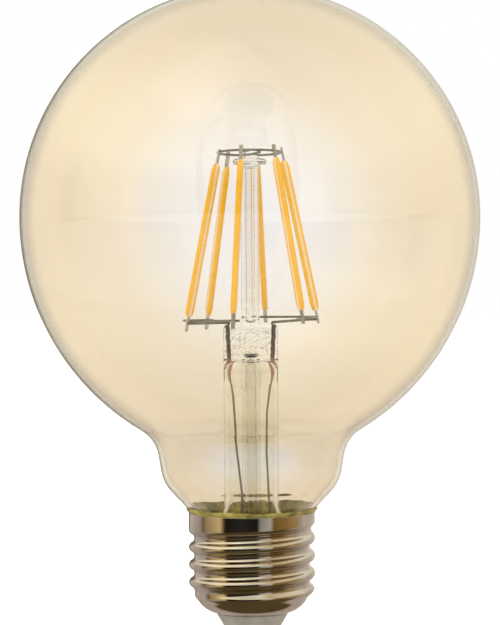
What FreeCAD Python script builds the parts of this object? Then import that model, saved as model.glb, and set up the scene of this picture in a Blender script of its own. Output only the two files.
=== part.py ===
import FreeCAD, Part
import os
from math import acos, atan2, cos, degrees, floor, pi, radians, sin, sqrt, tan

from FreeCAD import Vector

os.makedirs("parts", exist_ok=True)

# A globe lamp with six light-emitting filaments on a screw cap, in millimetres.
# The origin is the middle of the bottom contact, +Z runs up the lamp's axis.

# Screw cap: a rolled sheet shell
cap_height = 26.1
sheet = 0.3
thread_diameter = 26.2
thread_depth = 1.1
thread_pitch = 3.629
first_crest = 9.8
thread_start = 7.9
start_fade = 1.6
collar_height = 2.6
end_fade = 1.6
dome_radius = 5.2
lip_height = 5.4
columns_per_turn = 28
rows_per_turn = 9
dome_rows = 8

# Cap insulator and bottom contact
contact_radius = 4.6
contact_flat = 3.7
contact_thickness = 0.8
insulator_tip_radius = 4.9
insulator_rim_radius = 7.6
insulator_waist_radius = 6.1
insulator_waist_height = 2.9
insulator_flange_angle = 40.0
barrel_radius = 1.6
barrel_bore = 1.0
barrel_height = 4.6
pin_radius = 0.55
pin_height = 4.0
pin_head_radius = 1.6
pin_head_thickness = 0.3
pin_recess = 0.1
pin_fit = 0.03

# Glass envelope: globe, belly, throat, shoulder and neck
globe_radius = 47.5
globe_rise = 60.9
belly_radius = 51.2
throat_fillet = 7.6
throat_radius = 19.1
throat_rise = 10.9
throat_taper = 9.1
shoulder_fillet = 8.2
shoulder_angle = 42.7
neck_fillet = 1.0
neck_depth = 3.6
envelope_wall = 0.9

# Basing cement between the neck and the cap's collar
cement_thickness = 1.3
rim_gap = 0.22
bead_height = 0.5
bead_undercut = 0.08

# Stem: a flared tube pinched flat over the lead wires
stem_height = 42.5
stem_radius = 5.7
stem_wall = 1.0
horn_angle = 83.0
press_height = 6.5
press_thickness = 4.6
pinch_length = 5.5
bore_end_drop = 7.6
bore_round = 2.0
exhaust_radius = 1.9
exhaust_bore = 0.9
exhaust_drop = 1.9
exhaust_seat = 0.6
exhaust_hole = 0.8
exhaust_land = 0.2

# Centre post: a glass tube with a disc and a knob at its top
post_radius = 1.9
post_bore = 0.85
disc_radius = 3.5
disc_thickness = 1.3
disc_drop = 2.6
knob_radius = 1.95
knob_top = 0.4
knob_round = 0.7

# Wires that carry the filaments
frame_wire = 0.5
ring_radius = 6.6
ring_rise = 34.2
support_radius = 13.9
support_rise = 1.4
left_support_drop = 0.6
lead_knee = 0.36
support_overhang = 1.2
anchor_azimuth = 107.0
lead_wire = 0.55
lead_spread = 3.5
lead_overhang = 1.0
seal_wire = 0.7
seal_top_offset = 4.5
seal_low_offset = 4.1
seal_drop = 11.6
outer_wire = 0.44
lead_start = 1.0
lead_bend = 8.0
corner_bend = 0.5
bend_share = 0.45
left_route = [(0.12, -3.6, -0.6), (0.41, -2.9, -2.1), (0.74, -1.8, -2.7)]
left_foot = -3.0
right_route = [(0.2, 3.3, 0.4), (0.45, 3.2, 0.7), (0.8, 3.75, 0.3)]
right_foot = 4.2

# Filaments: a clear strip coated on both faces, with a metal tab at each end
filament_azimuths = [13.0, 77.0, 130.0, 207.0, 256.0, 317.0]
filament_slides = [-0.2, 0.0, -0.8, -1.0, -0.4, -0.1]
filament_length = 32.0
strip_thickness = 0.5
strip_width = 1.25
coat_width = 1.25
coat_thickness = 0.65
coat_taper = 1.5
coat_shoulder = 0.8
coat_end = 0.35
tab_thickness = 0.3
tab_width = 0.8
tab_overhang = 1.3

# Driver inside the cap
board_width = 16.0
board_thickness = 1.0
board_gap = 1.0
part_gap = 0.8
capacitor_radius = 3.15
capacitor_length = 7.2
inductor_radius = 2.5
inductor_height = 5.0
bridge_size = (4.7, 1.6, 3.9)
chip_size = (4.9, 1.5, 3.9)
resistor_radius = 1.4
resistor_length = 6.5
live_wire_rise = 4.5
neutral_wire_radius = 0.3
wall_touch = 0.05
wire_clearance = 0.4

# Sizes that follow from those above
thread_radius = thread_diameter / 2
root_radius = thread_radius - thread_depth
lip_radius = root_radius - dome_radius
collar_bore = thread_radius - sheet
dome_height = lip_height + dome_radius
thread_end = cap_height - collar_height
thread_arc = (thread_pitch**2 / 4 + thread_depth**2) / (4 * thread_depth)

neck_radius = collar_bore - cement_thickness
neck_bore = neck_radius - envelope_wall
seal_height = cap_height - neck_depth
globe_height = cap_height + globe_rise

press_top = seal_height + stem_height
pinch_top = press_top - press_height
pinch_low = pinch_top - pinch_length
stem_bore = stem_radius - stem_wall
exhaust_tip = seal_height - exhaust_drop
bore_end = press_top - bore_end_drop
exhaust_top = bore_end + exhaust_seat

support_height = press_top + support_rise
ring_height = support_height + ring_rise
lead_clearance = (frame_wire + lead_wire) / 2
weld_offset = (frame_wire + tab_thickness) / 2

live_wire_radius = (barrel_bore - pin_radius) / 2 - pin_fit
live_wire_offset = (barrel_bore + pin_radius) / 2
board_front = live_wire_radius - live_wire_offset
board_back = board_front + board_thickness
board_middle = (board_front + board_back) / 2
flange_height = dome_height - (dome_radius - sheet) * sin(radians(insulator_flange_angle))
board_top = exhaust_tip - board_gap

ORIGIN = Vector(0, 0, 0)
UP = Vector(0, 0, 1)


def point(radius, height):
    """A point of the half section, which lies in the XZ plane."""
    return Vector(radius, 0, height)


def direction(angle):
    """The unit vector of the half section at this many degrees above the radius."""
    return point(cos(radians(angle)), sin(radians(angle)))


def around(radius, azimuth, height):
    """A point given by its distance from the axis, its azimuth in degrees and its height."""
    return Vector(radius * cos(radians(azimuth)), radius * sin(radians(azimuth)), height)


def lines(points):
    """Straight edges through the points in turn."""
    return [Part.makeLine(a, b) for a, b in zip(points, points[1:])]


def arc(start, middle, end):
    return Part.Arc(start, middle, end).toShape()


def s_curve(start, end):
    """Two equal tangent arcs in the half section that leave and arrive straight up."""
    across = end.x - start.x
    rise = end.z - start.z
    radius = (across**2 + rise**2) / (4 * abs(across))
    side = 1 if across > 0 else -1
    half_turn = degrees(acos(1 - abs(across) / (2 * radius))) / 2
    first = point(start.x + side * radius, start.z)
    last = point(end.x - side * radius, end.z)
    middle = (start + end) / 2
    bow = point(radius * cos(radians(half_turn)), radius * sin(radians(half_turn)))
    return [
        arc(start, point(first.x - side * bow.x, first.z + bow.z), middle),
        arc(middle, point(last.x + side * bow.x, last.z - bow.z), end),
    ]


def lathe(edges):
    """Turns a closed half section about the lamp's axis."""
    return Part.Face(Part.Wire(Part.sortEdges(edges)[0])).revolve(ORIGIN, UP, 360)


def cylinder(radius, start, end):
    return Part.makeCylinder(radius, start.distanceToPoint(end), start, end - start)


def bent_wire(points, diameter, bend):
    """A round wire along straight runs, joined by tangent arcs as large as the bend or their share of the runs."""
    edges = []
    last = points[0]
    for before, corner, after in zip(points, points[1:], points[2:]):
        back = before - corner
        on = after - corner
        half = back.getAngle(on) / 2
        trim = min(bend / tan(half), bend_share * back.Length, bend_share * on.Length)
        back.normalize()
        on.normalize()
        inward = back + on
        inward.normalize()
        radius = trim * tan(half)
        middle = corner + inward * (trim / cos(half) - radius)
        start = corner + back * trim
        end = corner + on * trim
        edges += [Part.makeLine(last, start), arc(start, middle, end)]
        last = end
    edges.append(Part.makeLine(last, points[-1]))
    profile = Part.makeCircle(diameter / 2, points[0], points[1] - points[0])
    return Part.Wire(edges).makePipeShell([Part.Wire(profile)], True, False)


def corner_centre(angle_a, reach_a, angle_b, reach_b):
    """The point of the half section that lies at the two reaches along the two directions."""
    a = direction(angle_a)
    b = direction(angle_b)
    scale = a.x * b.z - a.z * b.x
    return point((reach_a * b.z - reach_b * a.z) / scale, (a.x * reach_b - b.x * reach_a) / scale)


def envelope_arcs():
    """The envelope's arcs from its top down: centre, radius (negative if hollow), first and last angle."""
    globe_centre = point(0, globe_height)
    belly_centre = point(globe_radius - belly_radius, globe_height)
    throat_reach = point(throat_radius, cap_height + throat_rise).dot(direction(-throat_taper))
    shoulder_reach = point(collar_bore, cap_height + rim_gap).dot(direction(-shoulder_angle))
    throat_span = belly_radius + throat_fillet
    share = (throat_reach + throat_fillet - belly_centre.dot(direction(-throat_taper))) / throat_span
    belly_end = -throat_taper - degrees(acos(share))
    throat_centre = belly_centre + direction(belly_end) * throat_span
    shoulder_centre = corner_centre(
        -throat_taper, throat_reach - shoulder_fillet, -shoulder_angle, shoulder_reach - shoulder_fillet
    )
    neck_centre = corner_centre(-shoulder_angle, shoulder_reach + neck_fillet, 0, neck_radius + neck_fillet)
    return [
        (globe_centre, globe_radius, 90, 0),
        (belly_centre, belly_radius, 0, belly_end),
        (throat_centre, -throat_fillet, belly_end, -throat_taper),
        (shoulder_centre, shoulder_fillet, -throat_taper, -shoulder_angle),
        (neck_centre, -neck_fillet, -shoulder_angle, 0),
    ]


def envelope_outline(inset):
    """The arcs joined by straight runs, moved into the glass by the inset, down to the sealed end."""
    edges = []
    last = None
    for centre, radius, start, end in envelope_arcs():
        reach = radius - inset
        first, middle, final = (centre + direction(a) * reach for a in (start, (start + end) / 2, end))
        if last is not None and last.distanceToPoint(first) > 1e-6:
            edges.append(Part.makeLine(last, first))
        edges.append(arc(first, middle, final))
        last = final
    edges.append(Part.makeLine(last, point(last.x, seal_height)))
    return edges


def glass_envelope():
    top = globe_height + globe_radius
    outer = envelope_outline(0)
    inner = envelope_outline(envelope_wall)
    closing = [
        Part.makeLine(point(0, top), point(0, top - envelope_wall)),
        Part.makeLine(point(neck_radius, seal_height), point(neck_bore, seal_height)),
    ]
    return lathe(outer + inner + closing)


def envelope_block():
    """The envelope's outer form, filled."""
    closing = lines([
        point(neck_radius, seal_height),
        point(0, seal_height),
        point(0, globe_height + globe_radius),
    ])
    return lathe(envelope_outline(0) + closing)


def basing_cement():
    """A ring between neck and collar, with a bead that stands on the cap's rim under the shoulder."""
    low = thread_end
    top = cap_height + bead_height
    ring = [
        point(neck_bore, low),
        point(collar_bore, low),
        point(collar_bore, cap_height),
        point(thread_radius - bead_undercut, cap_height),
        point(thread_radius, top),
        point(neck_bore, top),
        point(neck_bore, low),
    ]
    return lathe(lines(ring)).cut(envelope_block())


def fade(height, start, end):
    """Rises smoothly from 0 at the start to 1 at the end."""
    share = min(max((height - start) / (end - start), 0), 1)
    return share * share * (3 - 2 * share)


def thread_rise(offset, inset):
    """The sheet's rise over the thread's root at an axial offset from a crest: arc on arc, tangent."""
    crest_arc = thread_arc - inset
    root_arc = thread_arc + inset
    flank = thread_pitch / (4 * thread_arc)
    if offset < crest_arc * flank:
        return thread_depth - crest_arc + sqrt(crest_arc**2 - offset**2)
    return root_arc - sqrt(root_arc**2 - (thread_pitch / 2 - offset)**2)


def thread_lift(azimuth, height, inset):
    """The rise at a point of the shell, whose ridge dies out downwards and whose groove dies out upwards."""
    turns = (height - first_crest) / thread_pitch - azimuth / 360
    offset = abs(turns - floor(turns + 0.5)) * thread_pitch
    crest = (floor(turns + 0.5) + azimuth / 360) * thread_pitch + first_crest
    root = (floor(turns) + 0.5 + azimuth / 360) * thread_pitch + first_crest
    rise = thread_rise(offset, inset)
    rise *= fade(crest, thread_start, thread_start + start_fade)
    return thread_depth - (thread_depth - rise) * (1 - fade(root, thread_end - end_fade, thread_end))


def shell_profile(inset):
    """The shell's half section without its thread: up the dome from the lip, then straight up to the rim."""
    skin_radius = dome_radius - inset
    centre = point(lip_radius, dome_height)
    wall_rows = int((cap_height - dome_height) * rows_per_turn / thread_pitch) + 1
    profile = [centre + direction(90 * row / dome_rows - 90) * skin_radius for row in range(dome_rows)]
    for row in range(wall_rows + 1):
        profile.append(centre + point(skin_radius, (cap_height - dome_height) * row / wall_rows))
    return profile


def shell_skin(inset):
    """One side of the shell: a cubic surface closed round the axis, from the lip up to the rim."""
    profile = shell_profile(inset)
    stretch = 3 / (2 + cos(2 * pi / columns_per_turn))
    poles = []
    for column in range(columns_per_turn):
        azimuth = 360 * column / columns_per_turn
        radii = [(p.x + thread_lift(azimuth, p.z, inset)) * stretch for p in profile]
        poles.append([around(radius, azimuth, p.z) for radius, p in zip(radii, profile)])
    spans = len(profile) - 3
    surface = Part.BSplineSurface()
    surface.buildFromPolesMultsKnots(
        poles,
        [1] * (columns_per_turn + 1),
        [4] + [1] * (spans - 1) + [4],
        list(range(columns_per_turn + 1)),
        list(range(spans + 1)),
        True,
        False,
        3,
        3,
    )
    return surface.toShape()


def skin_edge(skin, pick):
    """The lowest or highest closed edge of a skin."""
    return pick((edge for edge in skin.Edges if edge.Closed), key=lambda edge: edge.BoundBox.Center.z)


def screw_shell():
    """The rolled sheet: an outer and an inner skin, joined by the cut edges at the lip and the rim."""
    outer = shell_skin(0)
    inner = shell_skin(sheet)
    ends = [Part.makeRuledSurface(skin_edge(outer, pick), skin_edge(inner, pick)) for pick in (min, max)]
    shell = Part.makeShell([outer, inner] + ends)
    shell.sewShape()
    solid = Part.makeSolid(shell)
    if solid.Volume < 0:
        solid.reverse()
    return solid


def cap_insulator():
    """A cone under the shell's lip and a flange inside its dome, with a hole for the contact's barrel."""
    seat = dome_radius - sheet
    angles = (-90, -(90 + insulator_flange_angle) / 2, -insulator_flange_angle)
    flange = [point(lip_radius, dome_height) + direction(angle) * seat for angle in angles]
    edges = lines([
        flange[2],
        point(barrel_radius, flange_height),
        point(barrel_radius, contact_thickness),
        point(insulator_tip_radius, contact_thickness),
        point(insulator_waist_radius, insulator_waist_height),
        point(insulator_rim_radius, lip_height),
        point(lip_radius, lip_height),
        flange[0],
    ])
    return lathe(edges + [arc(*flange)])


def contact_eyelet():
    """A round contact plate with a rolled edge, and a barrel that runs up through the insulator."""
    rolled = point(
        contact_radius - (contact_radius - contact_flat) * (1 - sin(pi / 4)),
        contact_thickness * (1 - cos(pi / 4)),
    )
    step = pin_recess + pin_head_thickness
    edges = lines([
        point(contact_radius, contact_thickness),
        point(barrel_radius, contact_thickness),
        point(barrel_radius, barrel_height),
        point(barrel_bore, barrel_height),
        point(barrel_bore, step),
        point(pin_head_radius + pin_fit, step),
        point(pin_head_radius + pin_fit, 0),
        point(contact_flat, 0),
    ])
    return lathe(edges + [arc(point(contact_flat, 0), rolled, point(contact_radius, contact_thickness))])


def contact_pin():
    """A nail whose head lies in the contact plate and whose shank clamps the live wire."""
    step = pin_recess + pin_head_thickness
    nail = [
        point(0, pin_recess),
        point(pin_head_radius, pin_recess),
        point(pin_head_radius, step),
        point(pin_radius, step),
        point(pin_radius, pin_height),
        point(0, pin_height + pin_radius),
        point(0, pin_recess),
    ]
    return lathe(lines(nail))


def stem_horn():
    """The horn's two arcs share a centre: its radius, its height and the lower arc's last angle."""
    horn_radius = (neck_bore - stem_radius) / (1 - cos(radians(horn_angle)))
    lower_radius = horn_radius + stem_wall
    lower_angle = degrees(acos(horn_radius * cos(radians(horn_angle)) / lower_radius))
    horn_height = seal_height + lower_radius * sin(radians(lower_angle))
    return horn_radius, horn_height, lower_angle


def horn_arc(inset, last_angle):
    """One side of the horn, from the tube out to the neck's bore."""
    horn_radius, horn_height, lower_angle = stem_horn()
    centre = point(stem_radius + horn_radius, horn_height)
    reach = horn_radius + inset
    return [centre - point(cos(radians(a)), sin(radians(a))) * reach for a in (0, last_angle / 2, last_angle)]


def press_side(inset):
    """The side view of the pinch, full round below and flat above, moved into the glass by the inset."""
    wide = stem_radius + stem_wall - inset
    narrow = press_thickness / 2 - inset
    low = point(wide, pinch_low - inset)
    high = point(narrow, pinch_top - inset)
    right = lines([point(wide, seal_height), low]) + s_curve(low, high)
    right += lines([high, point(narrow, press_top), point(0, press_top)])
    outline = Part.Wire(right)
    other = outline.mirror(ORIGIN, Vector(1, 0, 0))
    base = Part.makeLine(point(-wide, seal_height), point(wide, seal_height))
    side = Part.Face(Part.Wire(Part.sortEdges(outline.Edges + other.Edges + [base])[0]))
    side.rotate(ORIGIN, UP, 90)
    side.translate(Vector(-wide, 0, 0))
    return side.extrude(Vector(2 * wide, 0, 0))


def stem_block():
    """The stem's outer form, filled: a horn below and a tube above that is pinched flat at its top."""
    top_arc = horn_arc(0, horn_angle)
    horn = lathe([arc(*top_arc)] + lines([
        top_arc[2],
        point(neck_bore, seal_height),
        point(0, seal_height),
        point(0, top_arc[0].z),
        top_arc[0],
    ]))
    tube = cylinder(stem_radius, point(0, top_arc[0].z), point(0, press_top)).common(press_side(0))
    return horn.fuse(tube).removeSplitter()


def stem_cavity():
    """The space inside the stem, pinched flat as well, with a round corner at its end under the press."""
    lower_arc = horn_arc(stem_wall, stem_horn()[2])
    round_centre = point(stem_bore - bore_round, bore_end - bore_round)
    corner = [round_centre + direction(angle) * bore_round for angle in (0, 45, 90)]
    round_cavity = lathe([arc(*lower_arc), arc(*corner)] + lines([lower_arc[0], corner[0]]) + lines([
        corner[2],
        point(0, bore_end),
        point(0, seal_height),
        lower_arc[2],
    ]))
    pinched_zone = cylinder(stem_radius, point(0, pinch_low - stem_wall), point(0, press_top))
    return round_cavity.cut(pinched_zone.cut(press_side(stem_wall)))


def seal_axis(side):
    """The ends of a lead's sealed stretch, low end first. The side is -1 on the left and 1 on the right."""
    low = Vector(side * seal_low_offset, 0, press_top - seal_drop)
    return low, Vector(side * seal_top_offset, 0, press_top)


def seal_wire_solid(side):
    return cylinder(seal_wire / 2, *seal_axis(side))


def stem_flare():
    """The stem with its bore, the channels of its seal wires, and the exhaust hole through the press."""
    stem = stem_block().cut(stem_cavity())
    hole = point(0, exhaust_top + exhaust_land + exhaust_hole)
    tools = [
        seal_wire_solid(-1),
        seal_wire_solid(1),
        cylinder(exhaust_radius, point(0, pinch_low), point(0, exhaust_top)),
        cylinder(exhaust_bore, point(0, exhaust_top), hole + UP * (exhaust_hole + exhaust_land)),
        cylinder(exhaust_hole, hole, hole - Vector(0, stem_radius, 0)),
    ]
    for tool in tools:
        stem = stem.cut(tool)
    return stem


def exhaust_tube():
    """A thin tube that hangs from the press, melted shut at its lower tip."""
    wall = exhaust_radius - exhaust_bore
    tip = point(0, exhaust_tip + exhaust_radius)
    outer = [tip + direction(a) * exhaust_radius for a in (-90, -45, 0)]
    bore = tip + point(0, wall)
    inner = [bore + direction(a) * exhaust_bore for a in (-90, -45, 0)]
    return lathe([arc(*outer), arc(*inner), Part.makeLine(outer[0], inner[0])] + lines([
        outer[2],
        point(exhaust_radius, exhaust_top),
        point(exhaust_bore, exhaust_top),
        inner[2],
    ]))


def ring_anchor():
    """A straight wire through the post's knob, on whose ends the top ring lies."""
    height = ring_height - frame_wire
    reach = ring_radius + frame_wire
    ends = [around(side * reach, anchor_azimuth, height) for side in (-1, 1)]
    return cylinder(frame_wire / 2, *ends)


def centre_post():
    """A tube that stands on the press, closed by a disc and a round knob."""
    disc_low = ring_height - disc_drop
    rim_centre = point(disc_radius - disc_thickness / 2, disc_low + disc_thickness / 2)
    hollow = [point(0, disc_low - post_bore) + direction(angle) * post_bore for angle in (90, 45, 0)]
    rim = [rim_centre + direction(angle) * (disc_thickness / 2) for angle in (-90, 0, 90)]
    knob_centre = point(knob_radius - knob_round, ring_height + knob_top - knob_round)
    knob = [knob_centre + direction(angle) * knob_round for angle in (0, 45, 90)]
    tube = [point(post_bore, press_top), point(post_radius, press_top), point(post_radius, disc_low)]
    edges = [arc(*hollow), arc(*rim), arc(*knob)]
    edges += lines([knob[2], point(0, ring_height + knob_top), hollow[0]])
    edges += lines([hollow[2]] + tube + [rim[0]])
    edges += lines([rim[2], point(knob_radius, rim[2].z), knob[0]])
    return lathe(edges).cut(ring_anchor())


def top_ring():
    return Part.makeTorus(ring_radius, frame_wire / 2, point(0, ring_height))


def support_level(side):
    """The height of the support arc on this side: -1 on the left and 1 on the right."""
    return support_height - (left_support_drop if side < 0 else 0)


def support_arc(side, first, last):
    """A wire arc between two azimuths, with a short end past the outer filaments."""
    overhang = degrees(support_overhang / support_radius)
    start = first - overhang
    sweep = last - first + 2 * overhang
    circle = Part.makeCircle(frame_wire / 2, point(support_radius, support_level(side)), Vector(0, 1, 0))
    section = Part.Face(Part.Wire(circle))
    section.rotate(ORIGIN, UP, start)
    return section.revolve(ORIGIN, UP, sweep)


def inner_lead(side, azimuth):
    """Leaves the press beside the post, bends outwards and rises to the support arc, which it passes under."""
    low, top = seal_axis(side)
    along = (top - low) * (lead_knee / (top.z - low.z))
    height = support_level(side) - lead_clearance
    weld = around(support_radius, azimuth + lead_spread, height)
    reach = around(lead_overhang, azimuth + lead_spread, 0)
    return bent_wire([top, top + along, weld - reach, weld + reach], lead_wire, corner_bend)


def outer_lead(side, route, board_offset):
    """Hangs from a seal wire down through the stem, and ends on the driver board's top edge.

    A route's points are shares of the drop to the board, with their places across and behind the axis.
    """
    low, top = seal_axis(side)
    along = top - low
    along.normalize()
    drop = low.z - board_top
    points = [low, low - along * lead_start]
    points += [Vector(x, y, low.z - share * drop) for share, x, y in route]
    foot = Vector(board_offset, board_middle, board_top)
    points += [foot + UP * lead_start, foot]
    return bent_wire(points, outer_wire, lead_bend)


def weld_line(index):
    """The line between a filament's two welds in the half section: its lower and upper end."""
    side = 1 if cos(radians(filament_azimuths[index])) > 0 else -1
    return point(support_radius, support_level(side)), point(ring_radius, ring_height)


def placed_filament(shape, index):
    """Moves a shape from the filament's own axes, outwards on X and along it on Z, to its place."""
    low, high = weld_line(index)
    lean = atan2(low.x - high.x, high.z - low.z)
    middle = (low + high) / 2
    middle += point(cos(lean), sin(lean)) * weld_offset
    middle += point(-sin(lean), cos(lean)) * filament_slides[index]
    shape.rotate(ORIGIN, Vector(0, 1, 0), -degrees(lean))
    shape.translate(middle)
    shape.rotate(ORIGIN, UP, filament_azimuths[index])
    return shape


def centred_box(x, y, z, centre):
    return Part.makeBox(x, y, z, centre - Vector(x, y, z) / 2)


def coat():
    """One silicone coat: a domed section that tapers and rounds off at both ends."""
    face = strip_thickness / 2
    half = filament_length / 2
    end_rows = [(half, coat_end), (half - coat_taper * coat_end, coat_shoulder), (half - coat_taper, 1)]
    rows = [(-height, scale) for height, scale in end_rows] + end_rows[::-1]
    sections = []
    for z, scale in rows:
        side = coat_width / 2 * scale
        crown = Vector(face + coat_thickness * scale, 0, z)
        ends = [Vector(face, -side, z), Vector(face, side, z)]
        sections.append(Part.Wire([arc(ends[0], crown, ends[1]), Part.makeLine(ends[1], ends[0])]))
    return Part.makeLoft(sections, True, True)


def filament_phosphor(index):
    inner = coat()
    inner.rotate(ORIGIN, UP, 180)
    return placed_filament(Part.makeCompound([coat(), inner]), index)


def filament_substrate(index):
    return placed_filament(centred_box(strip_thickness, strip_width, filament_length, ORIGIN), index)


def filament_tabs(index):
    """The two metal tabs, from the strip's ends past the wires that they are welded to."""
    low, high = weld_line(index)
    reach = low.distanceToPoint(high) / 2 + tab_overhang
    length = reach - filament_length / 2
    offset = reach - length / 2
    tabs = [centred_box(tab_thickness, tab_width, length, point(0, side * offset)) for side in (-1, 1)]
    return placed_filament(Part.makeCompound(tabs), index)


def on_board(size, x, z, back):
    """A box on the driver board: its size along X, out from the board, and along Z."""
    y = board_back + size[1] / 2 if back else board_front - size[1] / 2
    return centred_box(*size, Vector(x, y, z))


def driver_parts():
    """The driver's board, which stands on the insulator's flange, and what it carries."""
    board_height = board_top - flange_height
    middle = (board_top + flange_height) / 2
    stack_height = bridge_size[2] + part_gap + 2 * resistor_radius
    low_row = middle - (stack_height - bridge_size[2]) / 2
    high_row = middle + stack_height / 2 - resistor_radius
    left = -board_width / 2
    capacitor_end = -(live_wire_radius + wire_clearance)
    capacitor_y = board_front - capacitor_radius
    resistor_y = board_back + resistor_radius
    inductor_x = board_width / 2 - inductor_radius
    board_centre = Vector(0, board_middle, middle)
    return {
        "driver_board": centred_box(board_width, board_thickness, board_height, board_centre),
        "smoothing_capacitor": cylinder(
            capacitor_radius,
            Vector(capacitor_end - capacitor_length, capacitor_y, middle),
            Vector(capacitor_end, capacitor_y, middle),
        ),
        "inductor": cylinder(
            inductor_radius,
            Vector(inductor_x, board_front, middle),
            Vector(inductor_x, board_front - inductor_height, middle),
        ),
        "fuse_resistor": cylinder(
            resistor_radius,
            Vector(left, resistor_y, high_row),
            Vector(left + resistor_length, resistor_y, high_row),
        ),
        "bridge_rectifier": on_board(bridge_size, left / 2, low_row, True),
        "driver_chip": on_board(chip_size, -left / 2, low_row, True),
    }


def live_wire():
    """Clamped beside the pin in the contact's barrel, and soldered up the face of the driver board."""
    low = pin_recess + pin_head_thickness + pin_fit
    return cylinder(
        live_wire_radius,
        Vector(0, -live_wire_offset, low),
        Vector(0, -live_wire_offset, flange_height + live_wire_rise),
    )


def neutral_wire():
    """Runs straight back from the driver board to the inner ridge of the shell's thread."""
    crest = first_crest + thread_pitch / 4
    turns = floor((board_top - crest) / thread_pitch)
    height = crest + (turns - 1 / 2) * thread_pitch
    end = root_radius - sheet - wall_touch
    return cylinder(neutral_wire_radius, Vector(0, board_back, height), Vector(0, end, height))


nodes = {
    "glass_envelope": glass_envelope(),
    "basing_cement": basing_cement(),
    "screw_shell": screw_shell(),
    "cap_insulator": cap_insulator(),
    "contact_eyelet": contact_eyelet(),
    "contact_pin": contact_pin(),
    "stem_flare": stem_flare(),
    "exhaust_tube": exhaust_tube(),
    "centre_post": centre_post(),
    "ring_anchor": ring_anchor(),
    "top_ring": top_ring(),
    "support_arc_left": support_arc(-1, filament_azimuths[2], filament_azimuths[4]),
    "support_arc_right": support_arc(1, filament_azimuths[5] - 360, filament_azimuths[1]),
    "seal_wire_left": seal_wire_solid(-1),
    "seal_wire_right": seal_wire_solid(1),
    "inner_lead_left": inner_lead(-1, filament_azimuths[3]),
    "inner_lead_right": inner_lead(1, filament_azimuths[0]),
    "outer_lead_left": outer_lead(-1, left_route, left_foot),
    "outer_lead_right": outer_lead(1, right_route, right_foot),
    "live_wire": live_wire(),
    "neutral_wire": neutral_wire(),
}
nodes.update(driver_parts())
for number in range(len(filament_azimuths)):
    nodes[f"filament_{number + 1}_substrate"] = filament_substrate(number)
    nodes[f"filament_{number + 1}_phosphor"] = filament_phosphor(number)
    nodes[f"filament_{number + 1}_tabs"] = filament_tabs(number)

for name, shape in nodes.items():
    shape.exportStep(f"parts/{name}.step")
    print(name, len(shape.Solids), shape.isValid(), round(shape.Volume, 3))
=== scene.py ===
from math import cos, pi, radians

import bmesh
import bpy
import numpy as np
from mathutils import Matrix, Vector


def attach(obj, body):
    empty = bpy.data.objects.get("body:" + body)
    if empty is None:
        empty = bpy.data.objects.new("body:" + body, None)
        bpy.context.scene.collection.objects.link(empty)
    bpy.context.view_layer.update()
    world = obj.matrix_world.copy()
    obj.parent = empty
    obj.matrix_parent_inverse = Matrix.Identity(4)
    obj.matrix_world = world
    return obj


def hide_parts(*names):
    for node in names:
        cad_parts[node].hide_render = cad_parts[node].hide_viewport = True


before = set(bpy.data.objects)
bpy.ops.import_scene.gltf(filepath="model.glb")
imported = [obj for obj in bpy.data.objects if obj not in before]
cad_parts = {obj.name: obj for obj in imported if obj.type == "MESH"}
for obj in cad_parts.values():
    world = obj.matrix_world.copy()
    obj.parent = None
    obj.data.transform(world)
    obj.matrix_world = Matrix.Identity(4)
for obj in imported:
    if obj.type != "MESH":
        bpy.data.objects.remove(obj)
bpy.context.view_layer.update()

MM = 0.001


# Sizes shared with the solids, in millimetres and degrees

CAP_HEIGHT, SHEET, COLLAR_HEIGHT, END_FADE = 26.1, 0.3, 2.6, 1.6
THREAD_RADIUS, THREAD_DEPTH, PITCH, FIRST_CREST = 13.1, 1.1, 3.629, 9.8
LIP_HEIGHT, DOME_RADIUS = 5.4, 5.2
GLOBE_RADIUS, GLOBE_RISE, BELLY_RADIUS, WALL = 47.5, 60.9, 51.2, 0.9
THROAT_RADIUS, THROAT_RISE, THROAT_FILLET, THROAT_TAPER = 19.1, 10.9, 7.6, 9.1
SHOULDER_FILLET, SHOULDER_ANGLE, RIM_GAP = 8.2, 42.7, 0.22
CEMENT_THICKNESS, NECK_FILLET, NECK_DEPTH = 1.3, 1.0, 3.6
STEM_HEIGHT, STEM_RADIUS, STEM_WALL, HORN_ANGLE = 42.5, 5.7, 1.0, 83.0
PRESS_HEIGHT, PRESS_THICKNESS, PINCH_LENGTH = 6.5, 4.6, 5.5
BORE_DROP, BORE_ROUND, TUBE_RADIUS, TUBE_BORE, TUBE_DROP = 7.6, 2.0, 1.9, 0.9, 1.9
SUPPORT_RISE, RING_RISE, POST_RADIUS, POST_BORE = 1.4, 34.2, 1.9, 0.85
DISC_RADIUS, DISC_THICKNESS, DISC_DROP, KNOB_RADIUS, KNOB_TOP, KNOB_ROUND = 3.5, 1.3, 2.6, 1.95, 0.4, 0.7

ROOT_RADIUS = THREAD_RADIUS - THREAD_DEPTH
THREAD_END = CAP_HEIGHT - COLLAR_HEIGHT
LIP_RADIUS = ROOT_RADIUS - DOME_RADIUS
DOME_HEIGHT = LIP_HEIGHT + DOME_RADIUS
GLOBE_HEIGHT = CAP_HEIGHT + GLOBE_RISE
NECK_RADIUS = THREAD_RADIUS - SHEET - CEMENT_THICKNESS
SEAL_HEIGHT = CAP_HEIGHT - NECK_DEPTH
PRESS_TOP = SEAL_HEIGHT + STEM_HEIGHT
PRESS_HALF = PRESS_THICKNESS / 2
PINCH_TOP = PRESS_TOP - PRESS_HEIGHT
PINCH_LOW = PINCH_TOP - PINCH_LENGTH
STEM_BORE = STEM_RADIUS - STEM_WALL
BORE_END = PRESS_TOP - BORE_DROP
TUBE_TIP = SEAL_HEIGHT - TUBE_DROP
RING_HEIGHT = PRESS_TOP + SUPPORT_RISE + RING_RISE

# Numbers of the finer surfaces alone: columns round the axis, small radii, and the space to their neighbours

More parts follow.
